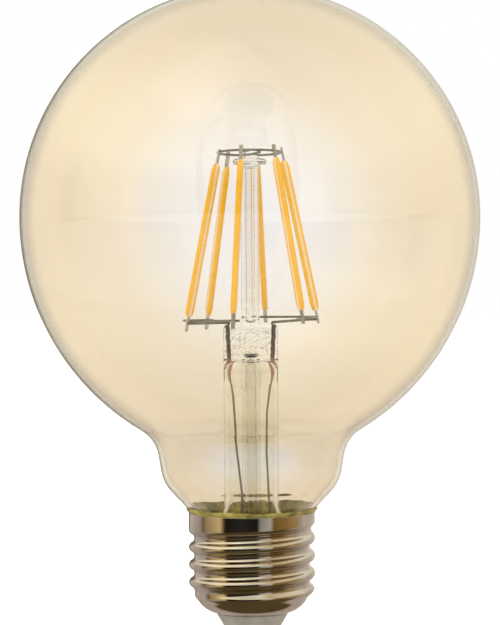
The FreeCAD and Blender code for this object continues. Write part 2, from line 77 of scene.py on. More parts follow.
GLOBE_COLUMNS, CAP_COLUMNS, STEM_COLUMNS, VOID_COLUMNS = 240, 264, 144, 48
THREAD_START, START_FADE, HORN_GAP = 7.7, 2.9, 0.05
GLASS_SKIN, GLASS_FLOW, OUTLINE_SAMPLES = 0.01, 2.0, 900
WETTING, BEAD_RISE, BEAD_LUMP, CEMENT_SKIN = 0.03, 0.75, 0.5, 0.02
TUBE_FILLET, PRESS_EDGE, PRESS_EDGE_DEEP, SQUARENESS = 0.2, 1.0, 0.2, 1.6
POST_FOOT, POST_FOOT_DEEP, DISC_FILLET = 0.6, 0.15, 0.3
TIP_WALL, RUN_GAP, BORE_OVERRUN, VOID_END, BLOW_HOLE_LAND = 1.2, 0.5, 0.1, 0.2, 0.35


# Meshes

def grid_mesh(name, grids):
    """A mesh from grids of points in millimetres, with rows along its profile and columns round the axis.

    Neighbouring points are joined into quads, and the last column meets the first. The quads face outwards
    when rows run up and columns run anticlockwise. Points that share a place, as at a pole, are merged.
    """
    vertices = []
    faces = []
    base = 0
    for points in grids:
        rows, columns = points.shape[:2]
        row, column = np.meshgrid(np.arange(rows - 1), np.arange(columns), indexing="ij")
        here = row * columns + column
        ahead = row * columns + (column + 1) % columns
        quads = np.stack([here, ahead, ahead + columns, here + columns], axis=-1)
        vertices.append(points.reshape(-1, 3) * MM)
        faces.append(quads.reshape(-1, 4) + base)
        base += rows * columns
    mesh = bpy.data.meshes.new(name)
    mesh.from_pydata(np.concatenate(vertices).tolist(), [], np.concatenate(faces).tolist())
    work = bmesh.new()
    work.from_mesh(mesh)
    bmesh.ops.remove_doubles(work, verts=work.verts, dist=0.0002 * MM)
    work.to_mesh(mesh)
    work.free()
    return mesh


def build(name, grids, replaces, material):
    """A smooth piece that takes the place of the solids named and in this material."""
    mesh = grid_mesh(name, grids)
    mesh.shade_smooth()
    mesh.materials.append(material)
    piece = bpy.data.objects.new(name, mesh)
    bpy.context.scene.collection.objects.link(piece)
    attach(piece, "root")
    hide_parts(*replaces)


def turned(columns):
    """The angles of columns that stand evenly round the axis."""
    return np.arange(columns) * 2 * pi / columns


def round_axis(radius, height, columns):
    """Rings about the lamp's axis: a point stands at its radius and height, and at its column's angle."""
    angle = turned(columns)
    radius, height = np.broadcast_arrays(radius, height, angle)[:2]
    return np.stack([radius * np.cos(angle), radius * np.sin(angle), height], axis=-1)


def lathe(profile, columns):
    """A profile of radii and heights turned about the lamp's axis."""
    profile = np.asarray(profile, float)
    return round_axis(profile[:, :1], profile[:, 1:], columns)


def arc(centre, radius, start, end, steps):
    """Points on an arc of the half section, its angles in degrees above the radius.

    Each stands at the centre plus the radius times its cosine and sine. A negative radius makes it hollow.
    """
    angle = np.radians(np.linspace(start, end, steps))
    return np.stack([centre[0] + radius * np.cos(angle), centre[1] + radius * np.sin(angle)], axis=-1)


def run(start, end, steps):
    """Points evenly along a straight run, without its two ends."""
    share = np.linspace(0, 1, steps + 2)[1:-1, None]
    return np.asarray(start, float) * (1 - share) + np.asarray(end, float) * share


def smooth_step(value, start, end):
    """Rises smoothly from 0 at the start to 1 at the end: the share squared, times 3 less twice the share."""
    share = np.clip((value - start) / (end - start), 0, 1)
    return share * share * (3 - 2 * share)


# Shader nodes

# A colour mix has sockets of the same names for other kinds of value, so its own are given by number. Its
# settings are those of a plain blend or of a product.
SHARE, UNDER, OVER, MIXED = 0, 6, 7, 2
BLENDED = {"data_type": "RGBA"}
MULTIPLIED = {"data_type": "RGBA", "blend_type": "MULTIPLY"}

# The height in millimetres that the glass's tones are laid over
TONE_SPAN = 140.0


def linear(code):
    """The linear colour of an sRGB hex code."""
    channels = [int(code[i:i + 2], 16) / 255 for i in (0, 2, 4)]
    return tuple(c / 12.92 if c <= 0.04045 else ((c + 0.055) / 1.055) ** 2.4 for c in channels) + (1.0,)


def node(tree, kind, inputs=None, give=0, stops=(), **settings):
    """Adds a shader node, sets its properties, sets or links its inputs, and gives the output asked for.

    A colour ramp takes its stops as (place, sRGB hex) pairs.
    """
    made = tree.nodes.new("ShaderNode" + kind)
    for key, value in settings.items():
        setattr(made, key, value)
    for key, value in (inputs or {}).items():
        if isinstance(value, bpy.types.NodeSocket):
            tree.links.new(value, made.inputs[key])
        else:
            made.inputs[key].default_value = value
    if stops:
        band = made.color_ramp
        while len(band.elements) < len(stops):
            band.elements.new(0.5)
        for element, (place, code) in zip(band.elements, stops):
            element.position = place
            element.color = linear(code)
    return made.outputs[give] if made.outputs else None


def bare_material(name):
    """A new material without nodes, its node tree, and the object coordinates of what wears it."""
    made = bpy.data.materials.new(name)
    made.use_nodes = True
    made.node_tree.nodes.clear()
    return made, made.node_tree, node(made.node_tree, "TexCoord", give="Object")


def by_height(*stops):
    """Colour stops whose places are heights in millimetres."""
    return [(height / TONE_SPAN, code) for height, code in stops]


# Materials

def glass(name, tones, low, high, wave_depth, wave_size, folds=0.0):
    """Clear glass that refracts and lets light through, with soft waves of this depth and size.

    Its four tones run from face on to edge on, where the eye looks through more glass, and are multiplied by
    a tone low down and another high up. Folds are the depth of the ripples in a pinched press.
    """
    made, tree, place = bare_material(name)
    face, side, edge, rim = tones
    facing = node(tree, "LayerWeight", {"Blend": 0.5}, "Facing")
    stops = [(0.0, face), (0.2, side), (0.68, side), (0.77, edge), (0.92, rim)]
    tint = node(tree, "ValToRGB", {0: facing}, stops=stops)
    height = node(tree, "SeparateXYZ", {0: place}, "Z")
    level = node(tree, "Math", {0: height, 1: TONE_SPAN * MM}, operation="DIVIDE")
    stops = by_height((36.4, low), (61.6, "FFFFFF"), (112.0, "FFFFFF"), (134.4, high))
    depth = node(tree, "ValToRGB", {0: level}, stops=stops)
    tint = node(tree, "Mix", {SHARE: 1.0, UNDER: tint, OVER: depth}, MIXED, **MULTIPLIED)
    waves = node(tree, "TexNoise", {"Vector": place, "Scale": 1 / (wave_size * MM), "Detail": 1.0})
    relief = node(tree, "Bump", {"Height": waves, "Distance": wave_depth * MM, "Strength": 1.0})
    if folds:
        pinched = by_height((57.12, "000000"), (59.08, "FFFFFF"), (63.7, "FFFFFF"), (64.82, "000000"))
        pinch = node(tree, "ValToRGB", {0: level}, stops=pinched)
        relief = press_ripples(tree, place, pinch, folds, relief)
        # The press takes grey cords, and a painted dark green shade where the blow hole looks dark
        tint = press_cords(tree, place, pinch, blow_hole_painted_shade(tree, place, level, tint))
    clear = node(tree, "BsdfPrincipled", {
        "Base Color": tint, "Roughness": 0.0, "IOR": 1.5, "Transmission Weight": 1.0, "Normal": relief,
    })
    see_through = node(tree, "BsdfTransparent", {"Color": linear(side)})
    rays = [node(tree, "LightPath", give=f"Is {kind} Ray") for kind in ("Shadow", "Diffuse")]
    passing = node(tree, "Math", {0: rays[0], 1: rays[1]}, operation="MAXIMUM")
    node(tree, "OutputMaterial", {"Surface": node(tree, "MixShader", {0: passing, 1: clear, 2: see_through})})
    return made


def press_ripples(tree, place, pinch, depth, relief):
    """Ripples that the flame and the jaws leave in the press, 1.5 mm long and a little flatter than wide."""
    stretched = node(tree, "Mapping", {"Vector": place, "Scale": (1, 1, 1.3)})
    ripples = node(tree, "TexNoise", {"Vector": stretched, "Scale": 1 / (1.5 * MM), "Detail": 2.0})
    height = node(tree, "Math", {0: ripples, 1: pinch}, operation="MULTIPLY")
    return node(tree, "Bump", {"Height": height, "Distance": depth * MM, "Strength": 1.0, "Normal": relief})


def press_cords(tree, place, pinch, tint):
    """Grey cords where glass that cooled at another rate was folded in: thin bands of a noise 2.6 mm wide."""
    stretched = node(tree, "Mapping", {"Vector": place, "Scale": (1, 1, 1.6)})
    strands = node(tree, "TexNoise", {"Vector": stretched, "Scale": 1 / (2.6 * MM), "Detail": 2.0})
    stops = [(0.475, "000000"), (0.495, "FFFFFF"), (0.505, "FFFFFF"), (0.525, "000000")]
    cords = node(tree, "ValToRGB", {0: strands}, stops=stops)
    corded = node(tree, "Math", {0: cords, 1: pinch}, operation="MULTIPLY")
    return node(tree, "Mix", {SHARE: corded, UNDER: tint, OVER: linear("B2B4AA")}, MIXED, **BLENDED)


def blow_hole_painted_shade(tree, place, level, tint):
    """Painted shade: a dark green laid into the glass's tint over the blow hole, an ellipse about the axis,
    between two heights.
    """
    scaled = node(tree, "Mapping", {"Vector": place, "Scale": (1 / (1.9 * MM), 1 / (1.65 * MM), 0)})
    reach = node(tree, "VectorMath", {0: scaled}, "Value", operation="LENGTH")
    within = node(tree, "Math", {0: reach, 1: 1.0}, operation="LESS_THAN")
    stops = by_height((57.512, "000000"), (57.61, "FFFFFF"), (59.08, "FFFFFF"), (59.192, "000000"))
    band = node(tree, "ValToRGB", {0: level}, stops=stops)
    hollow = node(tree, "Math", {0: within, 1: band}, operation="MULTIPLY")
    return node(tree, "Mix", {SHARE: hollow, UNDER: tint, OVER: linear("55664F")}, MIXED, **BLENDED)


def metal(name, colour, dark, roughness, streak, depth):
    """A drawn or rolled metal: dull patches 5 mm wide, and streaks of this size and depth round the axis.

    The real streaks are finer, and they are drawn as wide as the picture needs to show them.
    """
    made, tree, place = bare_material(name)
    patches = node(tree, "TexNoise", {"Vector": place, "Scale": 1 / (5.0 * MM), "Detail": 4.0})
    along = node(tree, "Mapping", {"Vector": place, "Scale": (0.06, 0.06, 1.0)})
    streaks = node(tree, "TexNoise", {"Vector": along, "Scale": 1 / (streak * MM), "Detail": 3.0})
    tone = node(tree, "ValToRGB", {0: patches}, stops=[(0.25, dark), (0.6, colour)])
    rough = node(tree, "Math", {0: patches, 1: 0.1, 2: roughness}, operation="MULTIPLY_ADD")
    relief = node(tree, "Bump", {"Height": streaks, "Distance": depth * MM, "Strength": 1.0})
    shader = node(tree, "BsdfPrincipled", {
        "Base Color": tone, "Metallic": 1.0, "Roughness": rough, "Normal": relief,
    })
    node(tree, "OutputMaterial", {"Surface": shader})
    return made


def dull(name, low, high, size, roughness, depth, glow=0.0):
    """A non-metal that drifts between two tones in blotches of this size, with a grain a quarter as wide.

    The glow is how much of the light scatters inside it.
    """
    made, tree, place = bare_material(name)
    blotches = node(tree, "TexNoise", {"Vector": place, "Scale": 1 / (size * MM), "Detail": 4.0})
    tone = node(tree, "ValToRGB", {0: blotches}, stops=[(0.3, low), (0.7, high)])
    grain = node(tree, "TexNoise", {"Vector": place, "Scale": 4 / (size * MM), "Detail": 3.0})
    relief = node(tree, "Bump", {"Height": grain, "Distance": depth * MM, "Strength": 1.0})
    shader = node(tree, "BsdfPrincipled", {
        "Base Color": tone, "Roughness": roughness, "Normal": relief, "Subsurface Weight": glow,
    })
    node(tree, "OutputMaterial", {"Surface": shader})
    return made


def cement(name, outer_tones, inner_tones, size, roughness, depth):
    """Lumpy cement, yellower outside, and darker and greener on its inner side, which faces the glass.

    The size is that of its lumps, and the inner side is where the normal points towards the axis.
    """
    made, tree, place = bare_material(name)
    lumps = node(tree, "TexNoise", {"Vector": place, "Scale": 1 / (size * MM), "Detail": 4.0})
    normal = node(tree, "TexCoord", give="Normal")
    level = node(tree, "Mapping", {"Vector": place, "Scale": (1, 1, 0)})
    outward = node(tree, "VectorMath", {0: level, 1: normal}, "Value", operation="DOT_PRODUCT")
    inside = node(tree, "Math", {0: outward, 1: 0.0}, operation="LESS_THAN")
    sides = [[(0.35, low), (0.65, high)] for low, high in (outer_tones, inner_tones)]
    outer, inner = (node(tree, "ValToRGB", {0: lumps}, stops=stops) for stops in sides)
    tone = node(tree, "Mix", {SHARE: inside, UNDER: outer, OVER: inner}, MIXED, **BLENDED)
    grain = node(tree, "TexNoise", {"Vector": place, "Scale": 4 / (size * MM), "Detail": 3.0})
    relief = node(tree, "Bump", {"Height": grain, "Distance": depth * MM, "Strength": 1.0})
    shader = node(tree, "BsdfPrincipled", {"Base Color": tone, "Roughness": roughness, "Normal": relief})
    node(tree, "OutputMaterial", {"Surface": shader})
    return made


def sealed_copper(name, above, below, level):
    """Copper-clad wire in the press, whose oxide changes tone over 2 mm, up from about this height."""
    made, tree, place = bare_material(name)
    blend = 2.0
    height = node(tree, "SeparateXYZ", {0: place}, "Z")
    blotches = node(tree, "TexNoise", {"Vector": place, "Scale": 1 / (1.5 * MM), "Detail": 3.0})
    drift = node(tree, "Math", {0: blotches, 1: blend * MM}, operation="MULTIPLY")
    drifted = node(tree, "Math", {0: height, 1: drift}, operation="ADD")
    share = node(tree, "Math", {0: drifted, 1: 1 / (blend * MM), 2: -level / blend}, operation="MULTIPLY_ADD")
    tone = node(tree, "ValToRGB", {0: share}, stops=[(0.0, below), (1.0, above)])
    grain = node(tree, "TexNoise", {"Vector": place, "Scale": 1 / (0.3 * MM), "Detail": 3.0})
    relief = node(tree, "Bump", {"Height": grain, "Distance": 0.01 * MM, "Strength": 1.0})
    shader = node(tree, "BsdfPrincipled", {"Base Color": tone, "Roughness": 0.4, "Normal": relief})
    node(tree, "OutputMaterial", {"Surface": shader})
    return made


# Blown glass with a baked gold tint: a warm cast over white, deeper at the rim where the wall is seen edge on
AMBER_TONES = ("FDFBF9", "FAF0DC", "DED3BA", "B4A98C")
AMBER_GLASS = glass("amber_glass_blown", AMBER_TONES, "F1F0F1", "F2F1F3", 0.02, 22.0)
# Drawn and pinched glass: colourless, with soft ripples and grey cords left in the press by the flame, and a
# painted dark green shade over the blow hole
STEM_TONES = ("FEFEFD", "FCFCFA", "E6E2D8", "CFC8B8")
STEM_GLASS = glass("stem_glass_drawn", STEM_TONES, "FBFAF5", "FFFFFF", 0.02, 2.5, 0.2)
# Nickel plate on rolled brass: bright, slightly warm, with faint streaks round the cap from the rolls
NICKEL_PLATE = metal("nickel_plate_rolled", "D8D0C4", "C2B8AA", 0.03, 0.35, 0.003)
# Baked basing cement: olive green resin and marble flour, lumpy and half glossy
CEMENT = cement("basing_cement_baked", ("6A6426", "B0A150"), ("46560E", "98A030"), 2.4, 0.45, 0.12)
# Glass-filled thermoset, moulded: greyish white, satin
CAP_PLASTIC = dull("cap_insulator_moulded", "9C968A", "B0A99C", 3.0, 0.42, 0.01)
# Pressed plated contact: grey, scuffed by lamp holders
CONTACT = metal("contact_pressed", "C8C4BC", "8E8A82", 0.25, 0.4, 0.004)
# Drawn nickel wire: mid grey, satin
NICKEL_WIRE = metal("nickel_wire_drawn", "8A867C", "5C5850", 0.3, 0.2, 0.003)
# Copper-clad wire sealed in glass: dark brown oxide, pink below where the glass wets the clean copper
SEAL_WIRE = sealed_copper("copper_clad_wire_sealed", "3E2621", "A67C72", 57.6)
# Tinned copper wire: dull dark grey
TINNED_WIRE = metal("tinned_wire_drawn", "8F8D88", "5A5853", 0.35, 0.2, 0.003)
# Phosphor in silicone, dispensed along the strip: opaque yellow amber with a soft satin skin
PHOSPHOR = dull("phosphor_silicone_dispensed", "FCC22E", "FFD045", 1.2, 0.4, 0.02, 0.1)
# Sawn ceramic strip between the coats: pale, with light that scatters in it, so it takes the coats' yellow
STRIP = dull("strip_sawn", "FFF4E2", "FFFAF0", 1.5, 0.3, 0.005, 0.2)
# Pressed steel tabs: pale grey
TAB_STEEL = metal("tab_pressed", "C6C4BE", "94928C", 0.28, 0.3, 0.003)
# Green coated laminate: even and half glossy
BOARD = dull("circuit_board_laminate", "2A5A38", "336A42", 2.0, 0.4, 0.01)
# Shrunk plastic sleeve: black and smooth
SLEEVE = dull("capacitor_sleeve_shrunk", "18181A", "242427", 3.0, 0.3, 0.005)
# Fired ferrite: dark grey, dry and fine grained
FERRITE = dull("inductor_ferrite_fired", "2E2C2A", "3A3835", 0.8, 0.7, 0.03)
# Dipped lacquer on a ceramic body: blue green, glossy in places
LACQUER = dull("resistor_lacquer_dipped", "4F8A6E", "5B987B", 2.0, 0.35, 0.02)
# Moulded epoxy: black and matt
EPOXY = dull("epoxy_moulded", "131313", "1C1C1C", 1.0, 0.5, 0.01)

# What each solid wears, by the words in its node's name
WEARS = {
    "basing_cement": CEMENT,
    "cap_insulator": CAP_PLASTIC,
    "contact_eyelet": CONTACT,
    "contact_pin": CONTACT,
    "ring_anchor": NICKEL_WIRE,
    "top_ring": NICKEL_WIRE,
    "support_arc": NICKEL_WIRE,
    "inner_lead": NICKEL_WIRE,
    "seal_wire": SEAL_WIRE,
    "outer_lead": TINNED_WIRE,
    "live_wire": TINNED_WIRE,
    "neutral_wire": TINNED_WIRE,
    "driver_board": BOARD,
    "smoothing_capacitor": SLEEVE,
    "inductor": FERRITE,
    "fuse_resistor": LACQUER,
    "bridge_rectifier": EPOXY,
    "driver_chip": EPOXY,
    "substrate": STRIP,
    "phosphor": PHOSPHOR,
    "tabs": TAB_STEEL,
    "glass_envelope": AMBER_GLASS,
    "stem_flare": STEM_GLASS,
    "exhaust_tube": STEM_GLASS,
    "centre_post": STEM_GLASS,
    "screw_shell": NICKEL_PLATE,
}
for name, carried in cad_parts.items():
    worn = next(finish for key, finish in WEARS.items() if key in name)
    carried.data.materials.clear()
    carried.data.materials.append(worn)


# Glass envelope

def across(angle):
    """The unit direction at this angle in the half section."""
    return np.array([np.cos(radians(angle)), np.sin(radians(angle))])


def corner(angle_a, reach_a, angle_b, reach_b):
    """The point whose reach along each of two directions is given: two equations in its radius and height."""
    return np.linalg.solve(np.array([across(angle_a), across(angle_b)]), [reach_a, reach_b])


BELLY_CENTRE = np.array([GLOBE_RADIUS - BELLY_RADIUS, GLOBE_HEIGHT])
THROAT_REACH = across(-THROAT_TAPER) @ (THROAT_RADIUS, CAP_HEIGHT + THROAT_RISE)
SHOULDER_REACH = across(-SHOULDER_ANGLE) @ (THREAD_RADIUS - SHEET, CAP_HEIGHT + RIM_GAP)
THROAT_SWING = BELLY_RADIUS + THROAT_FILLET
THROAT_OFFSET = THROAT_REACH + THROAT_FILLET - BELLY_CENTRE @ across(-THROAT_TAPER)
THROAT_START = -THROAT_TAPER - np.degrees(np.arccos(THROAT_OFFSET / THROAT_SWING))
THROAT_CENTRE = BELLY_CENTRE + across(THROAT_START) * THROAT_SWING
SHOULDER_CENTRE = corner(
    -THROAT_TAPER, THROAT_REACH - SHOULDER_FILLET, -SHOULDER_ANGLE, SHOULDER_REACH - SHOULDER_FILLET
)
NECK_CENTRE = corner(-SHOULDER_ANGLE, SHOULDER_REACH + NECK_FILLET, 0, NECK_RADIUS + NECK_FILLET)


def softened(profile):
    """The outline with its curves eased into one another, as blown glass flows.

    Its points are laid out evenly along it, averaged under a cosine window as wide as the flow, and read back
    at the old places. Over the pole the outline is mirrored, and past the neck it goes straight on.
    """
    place = np.concatenate([[0], np.cumsum(np.hypot(*np.diff(profile, axis=0).T))])
    even_place = np.linspace(0, place[-1], OUTLINE_SAMPLES)
    even = np.stack([np.interp(even_place, place, profile[:, k]) for k in (0, 1)], axis=-1)
    reach = int(GLASS_FLOW / 2 / even_place[1])
    over = even[reach:0:-1] * (-1, 1)
    below = 2 * even[-1] - even[-2:-2 - reach:-1]
    padded = np.concatenate([over, even, below])
    weight = np.hanning(2 * reach + 3)[1:-1]
    soft = np.stack([np.convolve(padded[:, k], weight / weight.sum(), "valid") for k in (0, 1)], axis=-1)
    soft[0, 0] = 0
    return np.stack([np.interp(place, even_place, soft[:, k]) for k in (0, 1)], axis=-1)


def envelope_profile(inset):
    """The blown outline from the top down to the neck, moved into the glass by the inset.

    The globe, the belly and the shoulder are round, the throat and the neck's corner are hollow, and each
    meets the next in a common tangent, with straight runs between them.
    """
    globe = arc((0, GLOBE_HEIGHT), GLOBE_RADIUS - inset, 90, 0, 80)
    belly = arc(BELLY_CENTRE, BELLY_RADIUS - inset, 0, THROAT_START, 50)[1:]
    throat = arc(THROAT_CENTRE, -THROAT_FILLET - inset, THROAT_START, -THROAT_TAPER, 24)
    shoulder = arc(SHOULDER_CENTRE, SHOULDER_FILLET - inset, -THROAT_TAPER, -SHOULDER_ANGLE, 24)
    neck = arc(NECK_CENTRE, -NECK_FILLET - inset, -SHOULDER_ANGLE, 0, 10)
    bulge = run(throat[-1], shoulder[0], 6)
    slope = run(shoulder[-1], neck[0], 8)
    foot = run(neck[-1], (neck[-1][0], SEAL_HEIGHT), 4)
    return softened(np.concatenate([globe, belly, throat, bulge, shoulder, slope, neck, foot]))


def blown_wall():
    """The envelope's outside from the neck up, its inside back down, and the cut end of the neck."""
    outside = envelope_profile(GLASS_SKIN)[::-1]
    inside = envelope_profile(WALL)
    cut_end = run(inside[-1], outside[0], 3)
    return lathe(np.concatenate([outside, inside, cut_end, outside[:1]]), GLOBE_COLUMNS)


build("envelope_glass", [blown_wall()], ["glass_envelope"], AMBER_GLASS)


# Basing cement

def cement_ring():
    """The baked cement: a ring between neck and collar, and a lumpy bead on the cap's rim.

    The bead's height and bulge go up and down with a sum of three sines round the cap. It wets the glass, so
    its inner side follows the envelope's outline just under the glass's skin.
    """
    angle = turned(CAP_COLUMNS)
    waves = [(0.2, 2, 0.6), (0.14, 7, 2.0), (0.1, 17, 4.1)]
    lump = 0.5 + sum(height * np.sin(count * angle + start) for height, count, start in waves)
    top = CAP_HEIGHT + BEAD_RISE + BEAD_LUMP * lump
    bore = THREAD_RADIUS - SHEET - CEMENT_SKIN
    rim = THREAD_RADIUS + CEMENT_SKIN
    rest = CAP_HEIGHT + CEMENT_SKIN
    outline = envelope_profile(WETTING)[::-1]

    def beside_glass(height):
        return np.interp(height, outline[:, 1], outline[:, 0])

    rings = [(bore, height) for height in np.linspace(THREAD_END, rest, 10)]
    rings += [(radius, rest) for radius in np.linspace(bore, rim, 5)[1:]]
    for share in np.linspace(0, 1, 14)[1:]:
        bulge = (0.1 + 0.25 * lump) * np.sin(pi * share)
        radius = rim + (beside_glass(top) - rim) * share**1.5 + bulge
        rings.append((radius, rest + (top - CAP_HEIGHT) * share))
    for share in np.linspace(1, 0, 24)[1:]:
        height = THREAD_END + (top + CEMENT_SKIN - THREAD_END) * share
        rings.append((beside_glass(height), height))
    rings += [(radius, THREAD_END) for radius in np.linspace(beside_glass(THREAD_END), bore, 4)[1:]]
    return np.array([round_axis(radius, height, CAP_COLUMNS) for radius, height in rings])


build("basing_cement_baked", [cement_ring()], ["basing_cement"], CEMENT)


# Stem: exhaust tube, bore, horn, press and post, fused into one piece of glass

def stem_rings(wide, deep, height, power=2.0):
    """Rings of the stem, one for each height: ellipses that square off as their power rises above 2.

    A point stands at its ring's width times the cosine and its depth times the sine of its angle, each raised
    to 2 over the power with its sign kept.
    """
    wide, deep, height, power = np.broadcast_arrays(wide, deep, height, power)
    power = power[:, None]
    angle = turned(STEM_COLUMNS)
    cosine, sine = np.cos(angle), np.sin(angle)
    x = wide[:, None] * np.sign(cosine) * np.abs(cosine) ** (2 / power)
    y = deep[:, None] * np.sign(sine) * np.abs(sine) ** (2 / power)
    return np.stack(np.broadcast_arrays(x, y, height[:, None]), axis=-1)


def round_rings(*parts):
    """Round rings of the stem along a profile of radii and heights."""
    radius, height = np.concatenate(parts).T
    return stem_rings(radius, radius, height)


def exhaust_tube():
    """The tube from its melted tip up to the bore's roof, where a small hollow fillet joins them."""
    return round_rings(
        arc((0, TUBE_TIP + TUBE_RADIUS), TUBE_RADIUS, -90, 0, 14),
        run((TUBE_RADIUS, TUBE_TIP + TUBE_RADIUS), (TUBE_RADIUS, BORE_END - RUN_GAP), 60),
        arc((TUBE_RADIUS + TUBE_FILLET, BORE_END - TUBE_FILLET), -TUBE_FILLET, 0, -90, 6),
    )


def pinched_bore():
    """The bore from its roof down, flattened front to back with the press so that the wall stays as thick."""
    start = PINCH_LOW - STEM_WALL
    radius, height = np.concatenate([
        arc((STEM_BORE - BORE_ROUND, BORE_END - BORE_ROUND), BORE_ROUND, 90, 0, 20),
        run((STEM_BORE, BORE_END - BORE_ROUND), (STEM_BORE, start), 16),
    ]).T
    pinch = smooth_step(height, start, PINCH_TOP - STEM_WALL)
    flat = STEM_BORE + (PRESS_HALF - STEM_RADIUS) * pinch
    deep = np.maximum(np.minimum(radius, flat), TUBE_RADIUS + TUBE_FILLET)
    return stem_rings(radius, deep, height, 2 + SQUARENESS * pinch)


def horn():
    """The stem's open end: inside down to its rim and outside back up, two round flares about one centre."""
    outer = (NECK_RADIUS - WALL - HORN_GAP - STEM_RADIUS) / (1 - cos(radians(HORN_ANGLE)))
    inner = outer + STEM_WALL
    inner_angle = np.degrees(np.arccos(outer * cos(radians(HORN_ANGLE)) / inner))
    centre = (STEM_RADIUS + outer, SEAL_HEIGHT + HORN_GAP + inner * np.sin(radians(inner_angle)))
    return round_rings(
        run((STEM_BORE, PINCH_LOW - STEM_WALL), (STEM_BORE, centre[1]), 40),
        arc(centre, -inner, 0, inner_angle, 26),
        arc(centre, -outer, HORN_ANGLE, 0, 26),
        run((STEM_RADIUS, centre[1]), (STEM_RADIUS, PINCH_LOW), 40),
    )


def press():
    """The pinched end: rings that flatten front to back and square off, with a rounded edge on top."""
    height = np.linspace(PINCH_LOW, PRESS_TOP - PRESS_EDGE, 40)
    pinch = smooth_step(height, PINCH_LOW, PINCH_TOP)
    deep = STEM_RADIUS + (PRESS_HALF - STEM_RADIUS) * pinch
    sides = stem_rings(STEM_RADIUS, deep, height, 2 + SQUARENESS * pinch)
    angle = np.radians(np.linspace(0, 90, 12)[1:])
    inset = 1 - np.cos(angle)
    height = PRESS_TOP - PRESS_EDGE * (1 - np.sin(angle))
    wide, deep = STEM_RADIUS - PRESS_EDGE * inset, PRESS_HALF - PRESS_EDGE_DEEP * inset
    return np.concatenate([sides, stem_rings(wide, deep, height, 2 + SQUARENESS)])


def press_top():
    """The flat top: rings that round off and draw in to the small hollow fillet at the post's foot."""
    share = np.linspace(0, 1, 14)[1:]
    wide = (STEM_RADIUS - PRESS_EDGE) * (1 - share) + (POST_RADIUS + POST_FOOT) * share
    deep = (PRESS_HALF - PRESS_EDGE_DEEP) * (1 - share) + (POST_RADIUS + POST_FOOT_DEEP) * share
    top = stem_rings(wide, deep, PRESS_TOP, 2 + SQUARENESS * (1 - share))
    angle = np.radians(np.linspace(0, 90, 10)[1:])
    flare = 1 - np.sin(angle)
    height = PRESS_TOP + POST_FOOT * (1 - np.cos(angle))
    foot = stem_rings(POST_RADIUS + POST_FOOT * flare, POST_RADIUS + POST_FOOT_DEEP * flare, height)
    return np.concatenate([top, foot])


def post():
    """The centre post with its disc, whose edge is round, and its knob, whose top is rounded."""
    low = RING_HEIGHT - DISC_DROP
    high = low + DISC_THICKNESS
    top = RING_HEIGHT + KNOB_TOP
    edge = DISC_THICKNESS / 2
    return round_rings(
        run((POST_RADIUS, PRESS_TOP + POST_FOOT), (POST_RADIUS, low - DISC_FILLET), 70),
        arc((POST_RADIUS + DISC_FILLET, low - DISC_FILLET), -DISC_FILLET, 0, -90, 6),
        run((POST_RADIUS + DISC_FILLET, low), (DISC_RADIUS - edge, low), 4),
        arc((DISC_RADIUS - edge, low + edge), edge, -90, 90, 18),
        run((DISC_RADIUS - edge, high), (KNOB_RADIUS + TUBE_FILLET, high), 3),
        arc((KNOB_RADIUS + TUBE_FILLET, high + TUBE_FILLET), -TUBE_FILLET, 90, 0, 5),
        arc((KNOB_RADIUS - KNOB_ROUND, top - KNOB_ROUND), KNOB_ROUND, 0, 90, 12),
        run((KNOB_RADIUS - KNOB_ROUND, top), (0, top), 3),
        [(0, top)],
    )


def void(low, high, radius):
    """A round-ended hollow in the glass, whose faces look into the hollow."""
    profile = np.concatenate([
        arc((0, high - radius), radius, 90, 0, 12),
        run((radius, high - radius), (radius, low + radius), 60),
        arc((0, low + radius), radius, 0, -90, 12),
    ])
    return lathe(profile, VOID_COLUMNS)


def blow_hole(bottom, radius, deep, sag, lift):
    """The hollow that is blown through the press: a shallow bowl, round below and dished above.

    Bowl and dish are quarter waves of the sag and the lift over the radius, flattened front to back.
    """
    slope = np.radians(np.linspace(0, 90, 14))
    dish = np.stack([radius * np.sin(slope), bottom + sag - lift * np.cos(slope)], axis=-1)
    bowl = np.stack([radius * np.sin(slope), bottom + sag - sag * np.cos(slope)], axis=-1)
    points = lathe(np.concatenate([dish, bowl[::-1][1:]]), VOID_COLUMNS)
    points[..., 1] *= deep / radius
    return points


STEM_GRIDS = [
    np.concatenate([exhaust_tube(), pinched_bore(), horn(), press(), press_top(), post()]),
    void(TUBE_TIP + TIP_WALL, BORE_END + BORE_OVERRUN, TUBE_BORE),
    blow_hole(BORE_END + BLOW_HOLE_LAND, radius=1.75, deep=1.5, sag=1.15, lift=0.35),
    void(PRESS_TOP + VOID_END, RING_HEIGHT - DISC_DROP - VOID_END, POST_BORE),
]
build("stem_glass", STEM_GRIDS, ["stem_flare", "exhaust_tube", "centre_post"], STEM_GLASS)


# Screw shell

